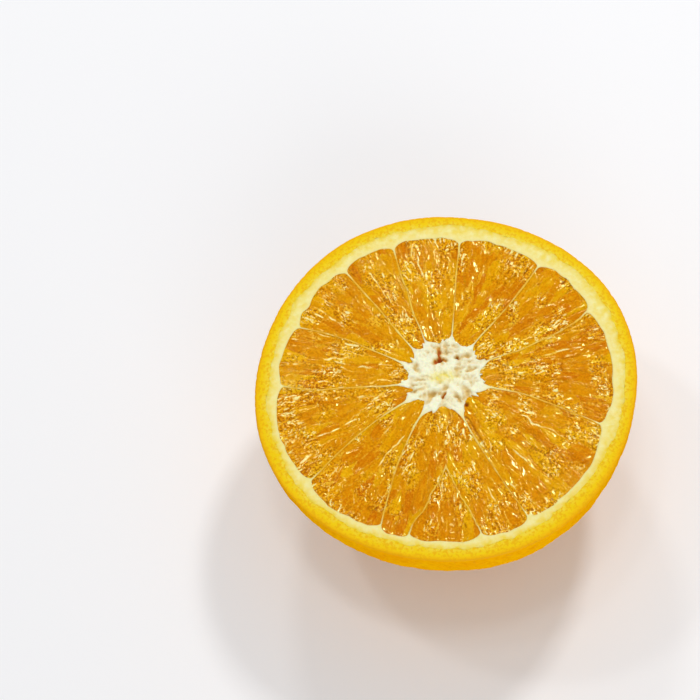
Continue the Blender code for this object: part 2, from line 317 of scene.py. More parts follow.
def insideRing(points, ring):
    # even-odd test of many points against one closed ring
    inside = np.zeros(len(points), bool)
    after = np.roll(ring, -1, axis=0)
    for (x1, y1), (x2, y2) in zip(ring, after):
        if y1 == y2:
            continue
        crosses = (points[:, 1] < y1) != (points[:, 1] < y2)
        reach = x1 + (points[:, 1] - y1) * (x2 - x1) / (y2 - y1)
        inside ^= crosses & (points[:, 0] < reach)
    return inside


def nearestOf(points, others):
    # distance from each point to the nearest of the others, and which one that is
    found = np.empty(len(points))
    which = np.empty(len(points), np.int64)
    for start in range(0, len(points), 4000):
        part = points[start : start + 4000]
        gaps = (part[:, None, 0] - others[None, :, 0]) ** 2
        gaps += (part[:, None, 1] - others[None, :, 1]) ** 2
        which[start : start + 4000] = gaps.argmin(axis=1)
        found[start : start + 4000] = np.sqrt(gaps.min(axis=1))
    return found, which


def nearest(points, others):
    return nearestOf(points, others)[0]


def hexPoints(low, high, spacing, jitter, rng):
    rows = int((high[1] - low[1]) / (spacing * 0.866)) + 1
    columns = int((high[0] - low[0]) / spacing) + 1
    across, down = np.meshgrid(np.arange(columns), np.arange(rows))
    x = low[0] + (across + 0.5 * (down % 2)) * spacing
    y = low[1] + down * spacing * 0.866
    grid = np.stack((x.ravel(), y.ravel()), axis=-1)
    return grid + rng.uniform(-jitter, jitter, grid.shape) * spacing


def triangulate(everything, loops):
    # flat points, faces, the loops that each face lies in, and where each given point went
    found = delaunay_2d_cdt([Vector(p) for p in everything], [], loops, 1, 1e-9)
    flat = np.array([(p.x, p.y) for p in found[0]])
    placeOf = {source: place for place, sources in enumerate(found[3]) for source in sources}
    return flat, [list(face) for face in found[2]], found[5], placeOf


def fillRing(ring, spacing, rng):
    # triangles inside one ring: points, faces and the ring's own places in points
    low, high = ring.min(axis=0), ring.max(axis=0)
    inner = hexPoints(low, high, spacing, 0.18, rng)
    inner = inner[insideRing(inner, ring)]
    inner = inner[nearest(inner, ring) > spacing * 0.55]
    points, faces, _, placeOf = triangulate(np.concatenate((ring, inner)), [list(range(len(ring)))])
    return points, faces, [placeOf[source] for source in range(len(ring))]


def padded(extra, fills, **masks):
    # masks of the top, with one value each for the hidden points that follow
    hidden = {name: np.full(extra, fills.get(name, 0.0)) for name in masks}
    return {name: np.concatenate((mask, hidden[name])) for name, mask in masks.items()}


def liningLevels(degrees, inset):
    # outlines and heights of the hidden wall between skin and pith
    levels = []
    for turn in np.linspace(0.03, math.radians(84), 16):
        radius = (rimRadius - layout["bandWidth"] - inset) * math.cos(turn)
        depth = (layout["domeDepth"] - layout["bandWidth"] - inset) * math.sin(turn)
        levels.append((polar(degrees, radius * lobed(degrees)), cutHeight - depth))
    return levels


def addWalls(points, faces, ring, rings, keep, inward=False):
    # a fine ring joined to coarser rings below it, each keeping one point in keep, then closed
    coarse = list(range(0, len(ring), keep))
    previous = None
    walls = []
    for outline, height in rings:
        start = len(points)
        points.extend((x, y, height) for x, y in outline[coarse])
        current = list(range(start, start + len(coarse)))
        for step, here in enumerate(current):
            after = (step + 1) % len(current)
            if previous is None:
                last = coarse[after] if after else len(ring)
                fine = [ring[k % len(ring)] for k in range(coarse[step], last + 1)]
                walls.append([here, current[after], *fine[::-1]])
            else:
                walls.append([here, current[after], previous[after], previous[step]])
        previous = current
    walls.append(previous[::-1])
    faces.extend(face[::-1] if inward else face for face in walls)


# Flesh

sacShape = {
    "tangentialGap": 1.8 * mm,
    "radialGap": 4.2 * mm,
    "tries": 9000,
    "length": (6.0 * mm, 11.0 * mm),
    "halfWidth": (0.9 * mm, 1.6 * mm),
    "crown": (-0.06 * mm, 0.08 * mm),
    "drop": 0.30 * mm,
    "taper": 0.10 * mm,
    "floor": -0.28 * mm,
    "creaseWidth": 0.030 * mm,
    "openShare": 0.3,
    "warp": (1.6 * mm, 0.25 * mm),  # size and reach of the waves in the sacs' outlines
    "hollow": 0.10 * mm,
    "spacing": 0.17 * mm,
    "edgeDrop": 0.012 * mm,
    "edgeWidth": 0.15 * mm,
    "swell": 0.22 * mm,
    "swellSize": 2.6 * mm,
    "streakSize": (0.50 * mm, 2.4 * mm),
    "streak": 0.045 * mm,
    "ridge": 0.06 * mm,
    "ridgeSize": 2.0 * mm,
    "patchSize": 3.2 * mm,  # rough and smooth patches
    "grainSize": 0.6 * mm,
    "grain": (0.012 * mm, 0.10 * mm),
    "lineWidth": 0.20,
    "line": 0.06 * mm,
    "flush": 0.45 * mm,  # how far in from a membrane the sacs settle to its height
}
tear = {
    "membrane": 9,
    "offset": 0.75 * mm,
    "half": 0.22 * mm,
    "depth": 0.35 * mm,
    "reach": (8 * mm, 23 * mm),
    "fade": (1 * mm, 8 * mm),
}
# faint pale lines within the segments: degrees, and where each starts and ends along the radius in mm
veins = ((8, 20, 31), (70, 24, 33), (95, 22, 33.5), (115, 23, 32.5), (141, 26, 34), (160, 15, 25))
veins += ((198, 16, 30), (228, 13, 27), (284, 24, 33), (306, 14, 31), (325, 14, 28))
spot = {"centre": np.array((3.95, -5.8)) * mm, "radius": 0.5 * mm, "depth": 0.3 * mm}


def placeSacs(ring, rng):
    # middles of the juice sacs, spread evenly in a metric that is longer along the radius
    low, high = ring.min(axis=0), ring.max(axis=0)
    middles = []
    tries = rng.uniform(low, high, (sacShape["tries"], 2))
    tries = tries[insideRing(tries, ring)]
    for middle in tries:
        out = middle - layout["coreCentre"]
        out = out / np.linalg.norm(out)
        if middles:
            gap = np.array(middles) - middle
            along = gap @ out
            across = gap @ squareTo(out)
            crowded = (along / sacShape["radialGap"]) ** 2 + (across / sacShape["tangentialGap"]) ** 2
            if crowded.min() < 1:
                continue
        middles.append(middle)
    return np.array(middles)


def sacRelief(points, ring, seed):
    # for each point: height, the tone of its sac, how near it is to a crease, and its place in the sac
    rng = np.random.default_rng(seed)
    size, amount = sacShape["warp"]
    warp = np.stack((softNoise(points, size, seed + 1), softNoise(points, size, seed + 2)), axis=-1)
    warped = points + warp * amount
    best = np.full(len(points), sacShape["floor"])
    second = np.full(len(points), sacShape["floor"] - 0.2 * mm)
    tone = np.full(len(points), 0.5)
    inSac = points.copy()
    for middle in placeSacs(ring, rng):
        out = middle - layout["coreCentre"]
        out = out / np.linalg.norm(out)
        tilt = rng.normal(0, 0.10)
        out = np.array((out[0] - tilt * out[1], out[1] + tilt * out[0]))
        length = rng.uniform(*sacShape["length"])
        width = rng.uniform(*sacShape["halfWidth"])
        crown = rng.uniform(*sacShape["crown"])
        opened = rng.random() < sacShape["openShare"]
        ownTone = rng.random()
        shift = rng.uniform(-50, 50, 2) * mm
        gap = warped - (middle - out * length * 0.55)
        lengthwise = gap @ out
        sideways = gap @ squareTo(out)
        index = np.flatnonzero((lengthwise > 0.001 * length) & (lengthwise < 0.999 * length))
        t = lengthwise[index] / length
        s = np.abs(sideways[index]) / (width * 1.25 * t**0.7 * np.sqrt(1 - t**6))
        height = crown - sacShape["drop"] * (1 - np.sqrt(unit(1 - s**2)))
        height = height - sacShape["taper"] * (1 - t) ** 2
        if opened:
            height = height - sacShape["hollow"] * unit(1 - (s / 0.75) ** 2)
        height = np.where(s < 1, height, -1)
        won = height > best[index]
        second[index] = np.where(won, best[index], np.maximum(second[index], height))
        best[index] = np.where(won, height, best[index])
        tone[index] = np.where(won, ownTone, tone[index])
        local = np.stack((sideways[index], lengthwise[index]), axis=-1) + shift
        inSac[index] = np.where(won[:, None], local, inSac[index])
    crease = bell((best - second) / sacShape["creaseWidth"])
    return best, tone, crease, inSac


def tearAndSpot(flat, segment):
    # a narrow tear beside one membrane, and a small dark spot at the core
    torn = np.zeros(len(flat))
    if segment == tear["membrane"]:
        side = sideLine(tear["membrane"], 0.0, 0.0, 1, 120)
        gap, which = nearestOf(flat, side)
        radius = np.linalg.norm(flat, axis=1)
        (inner, outer), (soft, softer) = tear["reach"], tear["fade"]
        fade = unit((radius - inner) / soft) * unit((outer - radius) / softer)
        torn = fade * bell((gap - tear["offset"]) / tear["half"])
    spotted = np.exp(-((np.linalg.norm(flat - spot["centre"], axis=1) / spot["radius"]) ** 3))
    return torn, spotted


def veinLines(flat, seed):
    radius = np.linalg.norm(flat, axis=1) / mm
    degrees = degreesOf(flat)
    wander = 0.5 * softNoise(flat, 5 * mm, seed + 11) + 0.25 * softNoise(flat, 1.5 * mm, seed + 12)
    total = np.zeros(len(flat))
    for degreesAt, start, end in veins:
        apart = (degrees - degreesAt + 180) % 360 - 180
        gap = radius * np.radians(apart) + wander
        fade = unit((radius - start) / 2) * unit((end - radius) / 2)
        total = np.maximum(total, fade * bell(gap / 0.17) * (np.abs(apart) < 20))
    return total * unit(0.7 + 0.8 * softNoise(flat, 1.3 * mm, seed + 13))


def makeFlesh(segment, material):
    seed = 100 + segment * 10
    ring = pocketRing(segment, 0.0, -0.01 * mm)
    rng = np.random.default_rng(seed)
    flat, faces, ringPlaces = fillRing(ring, sacShape["spacing"], rng)
    best, tone, crease, inSac = sacRelief(flat, ring, seed)
    toEdge = nearest(flat, ring)
    radius = np.linalg.norm(flat - layout["coreCentre"], axis=1)
    patch = unit(0.35 + 1.5 * softNoise(flat, sacShape["patchSize"], seed + 5))
    rough = 0.25 + 0.75 * patch
    streaks = inSac / np.array(sacShape["streakSize"])
    fibre = softNoise(streaks, 1.0, seed + 3)
    finer = softNoise(streaks, 0.5, seed + 7)
    line = unit(1 - np.abs(fibre + 0.4 * finer) / sacShape["lineWidth"])
    line = line * unit(0.4 + 2.0 * softNoise(flat, 1.0 * mm, seed + 8)) * rough
    low, high = sacShape["grain"]
    height = best + sacShape["streak"] * (fibre + 0.4 * finer) + sacShape["line"] * line
    height = height + sacShape["swell"] * softNoise(flat, sacShape["swellSize"], seed + 9)
    height = height + sacShape["ridge"] * crease * (softNoise(flat, sacShape["ridgeSize"], seed + 6) + 0.2)
    height = height + (low + (high - low) * patch) * layeredNoise(flat, sacShape["grainSize"], seed + 4, 2)
    settle = bell(toEdge / sacShape["flush"])
    height = height * (1 - 0.8 * settle)
    height = height - sacShape["edgeDrop"] * bell(toEdge / sacShape["edgeWidth"])
    torn, spotted = tearAndSpot(flat, segment)
    height = height - tear["depth"] * torn - spot["depth"] * spotted
    vein = veinLines(flat, seed)
    height = height + 0.05 * mm * vein
    # pale fibres and ridge lines, partly the flesh's own fibres and partly painted glints; the veins are real
    # pale lines
    pale = unit(1.5 * (fibre * 0.6 + finer * 0.6) - 0.45) * (0.35 + 0.65 * patch)
    pale = np.maximum(np.maximum(pale, line), 0.8 * vein)
    # painted shade: the dark side of each fibre, in the rough patches
    shade = unit(-1.6 * (fibre * 0.6 + finer * 0.6) - 0.45) * rough
    points = fromCut(flat, height)
    addWalls(points, faces, ringPlaces, pocketLevels(segment, ring, -0.1 * mm), 6)
    extra = len(points) - len(flat)
    reach = (radius - layout["coreRadius"]) / (layout["fleshRadius"] - layout["coreRadius"])
    fills = {"tone": 0.5, "outward": 1.0, "rough": 1.0}
    attributes = padded(extra, fills, tone=tone, crease=crease, outward=unit(reach), pale=pale, rough=rough)
    attributes |= padded(extra, fills, shade=shade, torn=np.maximum(0.5 * torn, spotted))
    return makePiece(f"flesh_{segment + 1:02d}", points, faces, material, attributes)


# Pith: lining, membranes and core

pithShape = {
    "spacing": 0.2 * mm,
    "crest": 0.035 * mm,
    "shoulder": 0.03 * mm,
    "shoulderWidth": 0.12 * mm,
    "sponge": 0.05 * mm,
    "spongeSize": 0.9 * mm,
    "borderWidth": 1.2 * mm,  # how far the skin's yellow runs into the pith
    "besideWidth": 1.3 * mm,
    "membraneWidth": 0.35 * mm,
}


def borderRing(steps):
    # the wavy line where coloured skin turns to pith
    degrees = np.arange(steps) * 360 / steps
    wave = 0.5 * roundNoise(degrees, 22, 71) + 0.45 * roundNoise(degrees, 62, 72)
    wave = wave + 0.4 * roundNoise(degrees, 150, 73)
    radius = (rimRadius - layout["bandWidth"] + layout["bandWobble"] * wave) * lobed(degrees)
    return degrees, radius


# pits and tears in the core: degrees and distance from the fruit's axis, reach along and across, depth
corePits = (
    (94, 6.4, 2.2, 0.50, 0.9, 1.0), (103, 5.0, 0.6, 1.0, 0.8, 1.0),
    (88, 5.2, 0.5, 0.8, 0.7, 0.8), (57, 6.3, 0.45, 0.4, 1.2, 0.9),
    (261, 3.1, 0.8, 0.42, 1.1, 1.0), (20, 6.1, 1.2, 0.5, 0.8, 0.5),
    (33, 6.8, 0.7, 0.3, 0.5, 0.4), (168, 5.4, 1.3, 0.4, 0.7, 0.45),
    (148, 6.6, 0.9, 0.4, 0.6, 0.35), (160, 4.0, 1.4, 0.3, 0.4, 0.25),
    (75, 6.7, 0.7, 0.9, 0.6, 0.35), (64, 7.4, 0.5, 0.5, 0.5, 0.3),
)
heartStreak = {"centre": np.array((-0.1, 1.1)) * mm, "half": (2.6 * mm, 1.1 * mm)}
# where the core frays into the flesh
tornTop = {"centre": np.array((0.3, 7.8)) * mm, "half": (3.6 * mm, 1.5 * mm)}


def coreRelief(flat):
    # height of the spongy core against the cut, how brown it is, and how yellow in the middle
    share = np.linalg.norm(flat - layout["coreCentre"], axis=1) / layout["coreRadius"]
    inCore = unit((1.45 - share) / 0.5)
    ridges = 0.5 - np.abs(layeredNoise(flat, 2.3 * mm, 81, 2))
    threads = 0.4 - np.abs(layeredNoise(flat, 0.9 * mm, 86, 2))
    lumps = layeredNoise(flat, 1.4 * mm, 82, 3)
    height = inCore * mm * (0.65 * ridges + 0.55 * threads + 0.35 * lumps - 0.20)
    hollow = inCore * unit(0.10 - 2.0 * height / mm)
    # radial gaps between the torn strands, towards the outside of the core
    out = flat - layout["coreCentre"]
    turned = degreesOf(out) + 9 * softNoise(flat, 2 * mm, 89)
    gaps = unit(1.9 * roundNoise(turned, 40, 88) - 0.45) * unit((share - 0.50) / 0.25)
    gaps = gaps * unit((1.12 - share) / 0.2)
    height = height - 0.5 * mm * gaps
    offset = np.stack((layeredNoise(flat, 0.9 * mm, 83, 2), layeredNoise(flat, 0.9 * mm, 87, 2)), axis=-1)
    ragged = flat + 0.5 * mm * offset
    stain = 0.45 * gaps
    for degreesAt, distanceAt, along, across, depth, colour in corePits:
        out = polar(degreesAt, 1.0)
        gap = ragged - out * distanceAt * mm
        far = (gap @ out / (along * mm)) ** 2 + (gap @ squareTo(out) / (across * mm)) ** 2
        bowl = np.exp(-(far**1.5))
        height = height - depth * mm * bowl
        stain = np.maximum(stain, colour * bowl)
    gap = (ragged - tornTop["centre"]) / np.array(tornTop["half"])
    frayed = np.exp(-(np.sum(gap**2, axis=1) ** 2)) * unit(0.75 - 1.5 * threads)
    stain = np.maximum(stain, 0.5 * frayed)
    height = height - 0.30 * mm * frayed
    gap = (ragged - heartStreak["centre"]) / np.array(heartStreak["half"])
    heart = np.exp(-np.sum(gap**2, axis=1))
    return height, stain, inCore, heart, hollow


def membraneSpines():
    # points along the middle of every membrane, with their share of the way from core to rind
    share = np.linspace(0.0, 1.0, 150)
    spines = []
    for index in range(len(membranes)):
        degrees, wobble, _ = membraneLine(index, share)
        inner = circleReach(degrees, layout["starCentre"], layout["starRadius"])
        outer = circleReach(degrees, layout["fleshCentre"], layout["fleshRadius"]) - layout["cuspDepth"]
        place = polar(degrees, inner + (outer * lobed(degrees) - inner) * share)
        spines.append(place + polar(degrees + 90, 1.0) * wobble[:, None])
    tip, toStart, toEnd = wedgeSides(0.0, 0.0)
    for side, direction in enumerate((toStart, toEnd)):
        outer = rayToCircle(tip, direction, layout["fleshRadius"] - layout["cuspDepth"] / 2)
        spines.append(wedgeRun(tip, outer, 149, side))
    shares = np.tile(share, len(membranes))
    shares = np.concatenate((shares, np.tile(0.3 + 0.7 * share, 2)))
    return np.concatenate(spines), shares


def makePith(material):
    rng = np.random.default_rng(7)
    borderDegrees, borderRadius = borderRing(720)
    border = polar(borderDegrees, borderRadius)
    rings = [pocketRing(segment, 0.0, 0.0) for segment in range(segmentCount)]
    ringPoints = np.concatenate(rings)
    reach = rimRadius
    fill = hexPoints((-reach, -reach), (reach, reach), pithShape["spacing"], 0.2, rng)
    fillDegrees = degreesOf(fill) % 360
    limit = np.interp(fillDegrees, borderDegrees, borderRadius, period=360)
    fill = fill[np.linalg.norm(fill, axis=1) < limit - pithShape["spacing"] * 0.5]
    for ring in rings:
        fill = fill[~insideRing(fill, ring)]
    fill = fill[nearest(fill, ringPoints) > pithShape["spacing"] * 0.45]
    spines, spineShare = membraneSpines()
    clear = nearest(spines, ringPoints) > 0.08 * mm
    spines, spineShare = spines[clear], spineShare[clear]
    fill = fill[nearest(fill, spines) > 0.12 * mm]
    loops = [list(range(len(border)))]
    start = len(border)
    for ring in rings:
        loops.append(list(range(start, start + len(ring))))
        start += len(ring)
    flat, faces, loopsOf, placeOf = triangulate(np.concatenate((border, ringPoints, fill, spines)), loops)
    faces = [face for face, inside in zip(faces, loopsOf) if list(inside) == [0]]
    toPocket = nearest(flat, ringPoints)
    height, stain, inCore, heart, hollow = coreRelief(flat)
    height = height + pithShape["sponge"] * layeredNoise(flat, pithShape["spongeSize"], 85, 3)
    shoulder = bell(toPocket / pithShape["shoulderWidth"])
    height = height + pithShape["crest"] - pithShape["shoulder"] * shoulder
    flatDegrees = degreesOf(flat) % 360
    toBorder = np.interp(flatDegrees, borderDegrees, borderRadius, period=360) - np.linalg.norm(flat, axis=1)
    points = fromCut(flat, height)
    for segment in range(segmentCount):
        loop = [placeOf[source] for source in loops[segment + 1]]
        levels = pocketLevels(segment, rings[segment], 0.0)
        levels.append((levels[-1][0], levels[-1][1] - 0.2 * mm))
        addWalls(points, faces, loop, levels, 6, inward=True)
    # the outside of the lining, tucked inside the skin
    outerLoop = [placeOf[source] for source in loops[0]]
    addWalls(points, faces, outerLoop, liningLevels(borderDegrees, 0.2 * mm), 8)
    extra = len(points) - len(flat)
    toSpine, spine = nearestOf(flat, spines)
    along = spineShare[spine]
    thin = unit(1.6 - toSpine / pithShape["membraneWidth"])
    thin = thin * unit(along / 0.30) * unit((1.0 - along) / 0.10)
    border = unit(toBorder / pithShape["borderWidth"])
    beside = unit(1.2 - toPocket / pithShape["besideWidth"])
    attributes = padded(extra, {}, stain=stain, core=inCore, heart=heart, hollow=hollow)
    attributes |= padded(extra, {"thin": 1.0}, thin=thin, border=border, beside=beside)
    return makePiece("pith_membranes_core", points, faces, material, attributes)


# Skin

skinShape = {
    "around": 720,
    "rowGap": 0.37 * mm,
    "glandGap": 1.18 * mm,
    "pitDepth": 0.29 * mm,
    "pitWidth": 0.36 * mm,
    "pebble": 0.20 * mm,
    "pebbleSize": 2.2 * mm,
    "swell": 0.18 * mm,
    "swellSize": 9 * mm,
    "calmRim": 1.5 * mm,  # the relief fades out this close to the cut
    "fillet": 0.5 * mm,  # how the cut edge is rounded
    "filletRows": 4,
    "bandRows": 12,
    "bandRelief": (0.06 * mm, 0.9 * mm, 0.02 * mm),  # height and size of its waves, and how proud it stands
    "innermost": 1.2 * mm,  # radius of the last row at the pole
    "scarRadius": 1.5 * mm,
    "scarDepth": 0.7 * mm,
}


def domePoint(degrees, turn):
    radius = rimRadius * lobed(degrees) * np.cos(turn)
    flat = polar(degrees, radius)
    return np.stack((flat[:, 0], flat[:, 1], cutHeight - layout["domeDepth"] * np.sin(turn)), axis=-1)


def skinGlands(rng):
    # oil glands spread evenly over the dome in a sunflower spiral, then jittered
    area = 2 * math.pi * rimRadius * layout["domeDepth"]
    count = int(area / skinShape["glandGap"] ** 2)
    index = np.arange(count)
    turn = np.arcsin((index + 0.5) / count)
    degrees = (index * 137.50776) % 360
    turn = turn + rng.normal(0, 0.20 * skinShape["glandGap"] / rimRadius, count)
    turn = np.clip(turn, 0.0, math.pi / 2)
    radius = rimRadius * np.maximum(np.cos(turn), 0.05)
    degrees = degrees + rng.normal(0, 0.20, count) * np.degrees(skinShape["glandGap"] / radius)
    return domePoint(degrees, turn)


def makeSkin(material):
    rng = np.random.default_rng(3)
    glands = skinGlands(rng)
    glandSize = rng.uniform(0.6, 1.25, len(glands))
    tree = KDTree(len(glands))
    for index, place in enumerate(glands):
        tree.insert(place, index)
    tree.balance()
    footTurn = math.acos(skinShape["innermost"] / rimRadius)
    rimTurn = math.asin(skinShape["fillet"] / layout["domeDepth"])
    arc = (rimRadius + layout["domeDepth"]) / 2 * (footTurn - rimTurn)
    rows = int(arc / skinShape["rowGap"])
    rings = []
    counts = []
    for row in range(rows + 1):
        turn = rimTurn + (footTurn - rimTurn) * row / rows
        count = skinShape["around"]
        while count > 45 and 2 * math.pi * rimRadius * math.cos(turn) / count < 0.6 * skinShape["rowGap"]:
            count //= 2
        degrees = np.arange(count) * 360 / count
        rings.append(domePoint(degrees, np.full(count, turn)))
        counts.append(count)
    outside = np.concatenate(rings)
    # relief of the outside: soft swells, pebbling and a pit over each gland
    normal = outside - np.array((0, 0, cutHeight))
    normal = normal / np.array((rimRadius**2, rimRadius**2, layout["domeDepth"] ** 2))
    normal = normal / np.linalg.norm(normal, axis=1)[:, None]
    pit = np.empty(len(outside))
    own = np.empty(len(outside))
    for index, place in enumerate(outside):
        _, which, far = tree.find(place)
        pit[index] = math.exp(-((far / (skinShape["pitWidth"] * glandSize[which])) ** 2))
        own[index] = glandSize[which]
    rise = skinShape["swell"] * softNoise(outside, skinShape["swellSize"], 31)
    rise = rise + skinShape["pebble"] * layeredNoise(outside, skinShape["pebbleSize"], 32, 2)
    rise = rise - skinShape["pitDepth"] * pit * own
    fade = unit((cutHeight - outside[:, 2]) / skinShape["calmRim"])
    outside = outside + normal * (rise * fade)[:, None]
    # the flat resting spot, with the small scar of the flower in its middle
    distance = np.linalg.norm(outside[:, :2], axis=1)
    scar = bell(distance / skinShape["scarRadius"])
    outside[:, 2] = np.maximum(outside[:, 2], 0.0) + skinShape["scarDepth"] * scar
    points = [tuple(p) for p in outside]
    faces = []
    start = 0
    loops = []
    for count in counts:
        loops.append(list(range(start, start + count)))
        start += count
    for upper, lower in zip(loops, loops[1:]):
        ratio = len(upper) // len(lower)
        for step in range(len(lower)):
            after = (step + 1) % len(lower)
            if ratio == 1:
                faces.append([upper[step], lower[step], lower[after], upper[after]])
            else:
                middle = upper[2 * step + 1]
                faces.append([upper[2 * step], lower[step], middle])
                faces.append([middle, lower[step], lower[after]])
                faces.append([middle, lower[after], upper[(2 * step + 2) % len(upper)]])
    faces.append(loops[-1][::-1])
    # the cut band, from the outer edge in to the pith
    borderDegrees, borderRadius = borderRing(skinShape["around"])
    around = skinShape["around"]
    edgeRadius = np.linalg.norm(outside[:around, :2], axis=1)
    fillet = skinShape["fillet"]
    waves, waveSize, proud = skinShape["bandRelief"]
    profile = []
    for row in range(1, skinShape["filletRows"] + 1):
        turn = math.pi / 2 * row / skinShape["filletRows"]
        profile.append((fillet * (1 - math.cos(turn)), 0.0, fillet * (math.sin(turn) - 1), math.sin(turn)))
    for row in range(1, skinShape["bandRows"] + 1):
        profile.append((fillet, row / skinShape["bandRows"], 0.0, 1.0))
    previous = loops[0]
    band = []
    cut = []
    for inset, share, drop, isCut in profile:
        inner = edgeRadius - inset
        radius = inner + (borderRadius - 0.04 * mm - inner) * share
        flat = polar(borderDegrees, radius)
        height = drop + (waves * layeredNoise(flat, waveSize, 33, 3) + proud) * isCut
        first = len(points)
        points.extend(fromCut(flat, height))
        current = list(range(first, first + around))
        for step in range(around):
            after = (step + 1) % around
            faces.append([previous[step], previous[after], current[after], current[step]])
        band.extend((edgeRadius - radius) / (edgeRadius - borderRadius))
        cut.extend([isCut] * around)
        previous = current
    # the hidden inner wall
    addWalls(points, faces, previous, liningLevels(borderDegrees, 0.1 * mm), 8, inward=True)
    extra = len(points) - len(outside)
    hidden = extra - len(band)
    onSkin = np.zeros(len(outside))
    band, cut = np.concatenate((onSkin, band)), np.concatenate((onSkin, cut))
    attributes = padded(extra, {}, pit=pit * fade, scar=scar)
    attributes |= padded(hidden, {"band": 1.0, "cut": 1.0}, band=band, cut=cut)
    return makePiece("skin", points, faces, material, attributes)


# Materials


def isSocket(value):
    return isinstance(value, bpy.types.NodeSocket)


def feed(socket, value):
    # a socket takes a link, a colour or a plain number
    if isSocket(value):
        socket.id_data.links.new(value, socket)
    elif isinstance(value, tuple):
        socket.default_value = (*value, 1)
    else:
        socket.default_value = value


def addNode(tree, kind, **values):
    node = tree.nodes.new(kind)
    for key, value in values.items():
        feed(node.inputs[key], value)
    return node


def mathNode(operation, first, second, clamp=False):
    tree = (first if isSocket(first) else second).id_data
    node = tree.nodes.new("ShaderNodeMath")
    node.operation = operation
    node.use_clamp = clamp
    feed(node.inputs[0], first)
    feed(node.inputs[1], second)
    return node.outputs[0]


def times(first, second, clamp=False):
    return mathNode("MULTIPLY", first, second, clamp)


def plus(first, second, clamp=False):
    return mathNode("ADD", first, second, clamp)


def excess(high, low, gain, clamp=False):
    # how far one value stands over another, times a gain
    return times(mathNode("SUBTRACT", high, low, clamp=True), gain, clamp)


def mixColour(share, first, second):
    node = share.id_data.nodes.new("ShaderNodeMix")
    node.data_type = "RGBA"
    for index, value in ((0, share), (6, first), (7, second)):
        feed(node.inputs[index], value)
    return node.outputs[2]


def paint(base, look, layers):
    # named colours laid over each other, each by its own mask
    for share, name in layers:
        base = mixColour(share, base, look[name])
    return base


def masksOf(tree, *names):
    # masks that the mesh carries
    masks = []
    for name in names:
        node = tree.nodes.new("ShaderNodeAttribute")
        node.attribute_name = name
        masks.append(node.outputs["Fac"])
    return masks


def newMaterial(name):
    material = bpy.data.materials.new(name)
    material.use_nodes = True
    tree = material.node_tree
    place = tree.nodes.new("ShaderNodeTexCoord").outputs["Object"]
    return material, tree, tree.nodes["Principled BSDF"], place


def finishMaterial(shader, place, look, base, roughness):
    feed(shader.inputs["Base Color"], base)
    feed(shader.inputs["Roughness"], roughness)
    feed(shader.inputs["Normal"], grain(place, *look["grain"]))
    for name, value in look["sockets"].items():
        shader.inputs[name].default_value = value


def makeGroup(name, numbers, output, kind):
    # a place and some numbers go in, one value comes out
    group = bpy.data.node_groups.new(name, "ShaderNodeTree")
    group.interface.new_socket(name="Place", in_out="INPUT", socket_type="NodeSocketVector")
    for key, value in numbers.items():
        socket = group.interface.new_socket(name=key, in_out="INPUT", socket_type="NodeSocketFloat")
        socket.default_value = value
    group.interface.new_socket(name=output, in_out="OUTPUT", socket_type=kind)
    return group, group.nodes.new("NodeGroupInput"), group.nodes.new("NodeGroupOutput")


def groupNoise(group, given, sizeName, detail, roughness):
    # noise whose waves are as long as the named input says, in mm
    scale = mathNode("DIVIDE", 1 / mm, given.outputs[sizeName])
    place = given.outputs["Place"]
    node = addNode(group, "ShaderNodeTexNoise", Vector=place, Scale=scale, Detail=detail, Roughness=roughness)
    return node.outputs["Fac"]


def buildMottle():
    # soft patches, even in all directions: a mask from 0 to 1
    numbers = {"Patch Size": 1.0, "Contrast": 1.0}
    group, given, result = makeGroup("fruitMottle", numbers, "Mask", "NodeSocketFloat")
    noise = groupNoise(group, given, "Patch Size", 3.0, 0.55)
    spread = times(mathNode("SUBTRACT", noise, 0.5), given.outputs["Contrast"])
    feed(result.inputs["Mask"], plus(spread, 0.5, clamp=True))
    return group


def buildGrain():
    # fine relief too small for the mesh, as a normal
    numbers = {"Grain Size": 0.3, "Strength": 0.3, "Depth": 0.05}
    group, given, result = makeGroup("fruitGrain", numbers, "Normal", "NodeSocketVector")
    noise = groupNoise(group, given, "Grain Size", 2.0, 0.6)
    depth = times(given.outputs["Depth"], mm)
    bump = addNode(group, "ShaderNodeBump", Height=noise, Strength=given.outputs["Strength"], Distance=depth)
    feed(result.inputs["Normal"], bump.outputs["Normal"])
    return group


mottleGroup = buildMottle()
grainGroup = buildGrain()


def placeGroup(group, output, values):
    node = values["Place"].id_data.nodes.new("ShaderNodeGroup")
    node.node_tree = group
    for name, value in values.items():
        feed(node.inputs[name], value)
    return node.outputs[output]


def mottle(place, size, contrast):
    return placeGroup(mottleGroup, "Mask", {"Place": place, "Patch Size": size, "Contrast": contrast})


def grain(place, size, strength, depth):
    values = {"Place": place, "Grain Size": size, "Strength": strength, "Depth": depth}
    return placeGroup(grainGroup, "Normal", values)


# mottles are given as patch size in mm and contrast, grain as size in mm, strength and depth in mm
fleshLook = {
    "nearCore": (0.77, 0.345, 0.0005),
    "nearRind": (0.74, 0.275, 0.0005),
    "deepSac": (0.64, 0.170, 0.0005),
    "paleSac": (0.84, 0.44, 0.0008),
    # light specks and pale fibres, partly their own yellow and partly painted highlight
    "yellowSpeckAndHighlight": (1.0, 0.60, 0.015),
    # the brightest strokes, partly the fibres' own pale colour and partly painted glints
    "pale": (1.0, 0.84, 0.36),
    "wall": (0.95, 0.62, 0.05),
    # painted shade, for the dark specks and the shade lines beside the fibres
    "paintedShade": (0.31, 0.095, 0.0005),
    "torn": (0.28, 0.040, 0.003),
    "patches": (4.0, 2.6),
    "specks": (0.45, 4.5),
    "grain": (0.35, 0.12, 0.04),
    "roughness": (0.04, 0.10),  # between specks and on them
    "sockets": {
        "IOR": 1.42,
        "Specular Tint": (0.82, 1.0, 0.42, 1),
        "Subsurface Weight": 0.3,
        "Subsurface Radius": (1.0, 0.45, 0.12),
        "Subsurface Scale": 1.2 * mm,
    },
}


